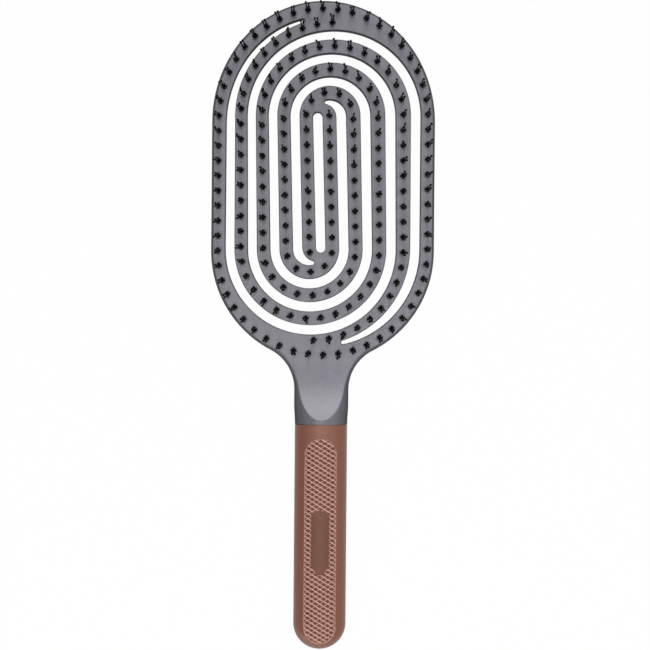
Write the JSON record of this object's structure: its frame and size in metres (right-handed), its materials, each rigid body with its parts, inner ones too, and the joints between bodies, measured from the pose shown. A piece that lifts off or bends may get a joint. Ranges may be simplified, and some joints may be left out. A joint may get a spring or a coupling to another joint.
{
  "type": "hair brush",
  "caption": "Flat vented hair grooming brush: spiral-slotted head with ball-tipped bristle tufts on its ribs, scooped neck, and a satin handle sleeve with a textured grip panel.",
  "frame": {"origin": "middle of the bounding box in X and Y, at the handle's lowest line in Z", "axes": "+Y runs along the handle towards the head's round top, +Z is the way the bristles point, and +X is to the right when the bristles face the viewer and the head is up"},
  "size_m": [0.086, 0.25, 0.025],
  "materials": {
    "frame_grey": "satin",
    "bristle_black": "satin nylon",
    "sleeve_copper": "satin rose copper",
    "panel_copper": "satin rose copper, moulded texture"
  },
  "bodies": {
    "root": {"head_frame": "frame_grey", "handle_sleeve": "sleeve_copper", "grip_panel": "panel_copper", "bristles_ring_top_right": "bristle_black", "bristles_ring_top_left": "bristle_black", "bristles_ring_left": "bristle_black", "bristles_ring_bottom_left": "bristle_black", "bristles_ring_bottom_right": "bristle_black", "bristles_ring_right": "bristle_black", "bristles_arm_a_band": "bristle_black", "bristles_arm_a_column_1": "bristle_black", "bristles_arm_a_turn_1_first": "bristle_black", "bristles_arm_a_turn_1_last": "bristle_black", "bristles_arm_a_column_2": "bristle_black", "bristles_arm_a_turn_2_first": "bristle_black", "bristles_arm_a_turn_2_last": "bristle_black", "bristles_arm_a_column_3": "bristle_black", "bristles_arm_a_turn_3": "bristle_black", "bristles_arm_a_core": "bristle_black", "bristles_arm_b_band": "bristle_black", "bristles_arm_b_column_1": "bristle_black", "bristles_arm_b_turn_1_first": "bristle_black", "bristles_arm_b_turn_1_last": "bristle_black", "bristles_arm_b_column_2": "bristle_black", "bristles_arm_b_turn_2_first": "bristle_black", "bristles_arm_b_turn_2_last": "bristle_black", "bristles_arm_b_column_3": "bristle_black", "bristles_arm_b_turn_3": "bristle_black", "bristles_arm_b_core": "bristle_black"}
  },
  "joints": []
}
